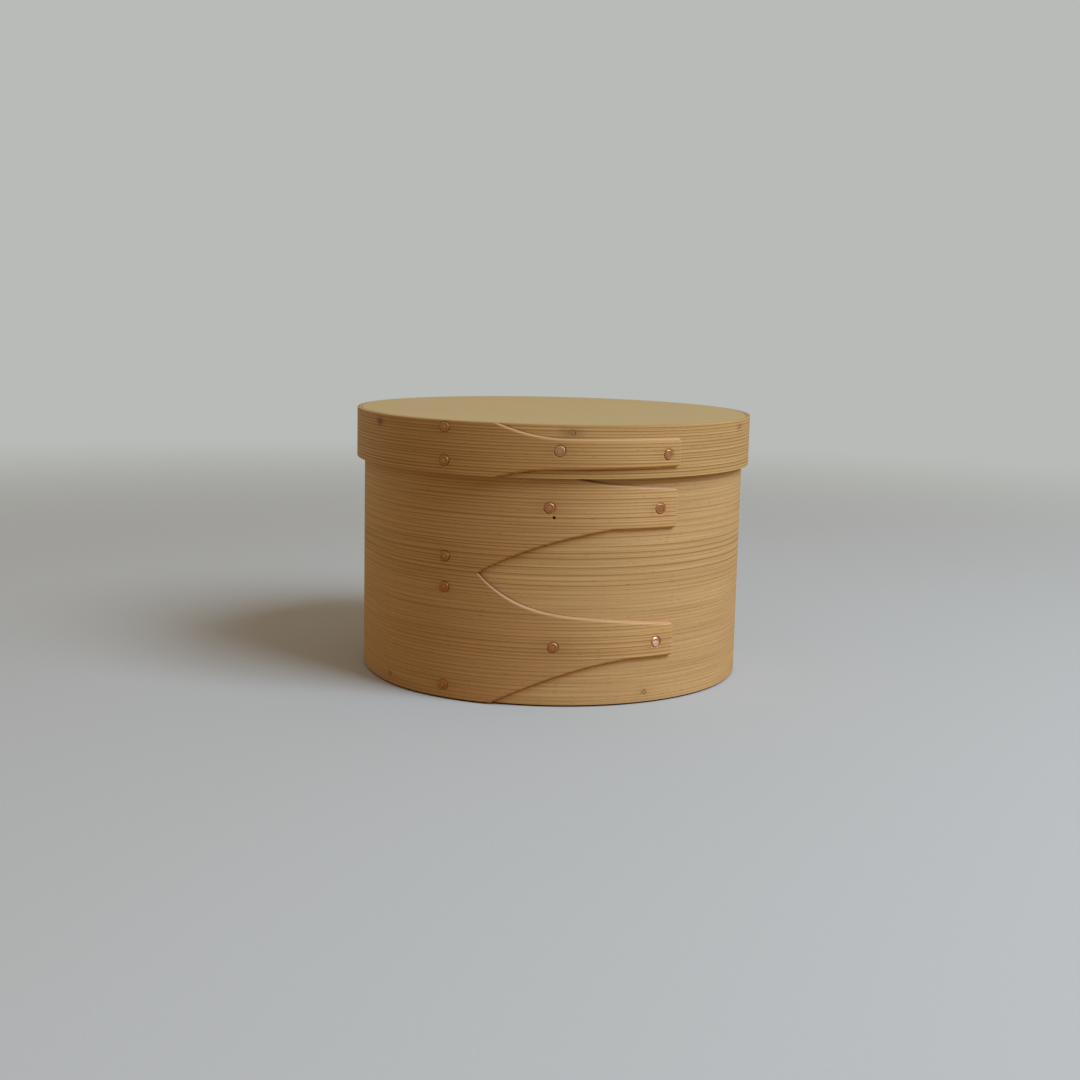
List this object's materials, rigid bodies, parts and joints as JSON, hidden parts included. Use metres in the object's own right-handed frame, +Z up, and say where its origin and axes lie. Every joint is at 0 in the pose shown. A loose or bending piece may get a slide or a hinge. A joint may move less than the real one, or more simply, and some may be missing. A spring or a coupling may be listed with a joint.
{
  "type": "bentwood pantry box",
  "caption": "Round bentwood box for dry stores: thin bent bands with tapered fingers lapped and tacked, a pegged board base and a lift-off lid.",
  "frame": {"origin": "middle of the flat underside of the box", "axes": "+Z up through the middle of the box and out of the lid, -Y out of the front, where the lapped seam is, and +X to the right, the way the fingers point"},
  "size_m": [0.1502, 0.1521, 0.0992],
  "materials": {
    "softwood_band": "planed straight-grained softwood strip, satin",
    "board": "planed softwood board, matt",
    "peg": "split wooden peg, end grain trimmed flush",
    "copper_tack": "hammered copper, slightly dulled"
  },
  "bodies": {
    "box": {"body_band": "softwood_band", "base_board": "board", "body_tack_1": "copper_tack", "body_tack_2": "copper_tack", "body_tack_3": "copper_tack", "body_tack_4": "copper_tack", "body_tack_5": "copper_tack", "body_tack_6": "copper_tack", "body_tack_7": "copper_tack", "body_tack_8": "copper_tack", "base_peg_1": "peg", "base_peg_2": "peg", "base_peg_3": "peg", "base_peg_4": "peg"},
    "lid": {"lid_band": "softwood_band", "lid_board": "board", "lid_tack_1": "copper_tack", "lid_tack_2": "copper_tack", "lid_tack_3": "copper_tack", "lid_tack_4": "copper_tack", "lid_peg_1": "peg", "lid_peg_2": "peg", "lid_peg_3": "peg", "lid_peg_4": "peg", "lid_peg_5": "peg", "lid_peg_6": "peg"}
  },
  "joints": [
    {"name": "lid_lift", "type": "slide", "parent": "box", "child": "lid", "axis": [0, 0, 1], "range_m": [0, 0.12]}
  ]
}
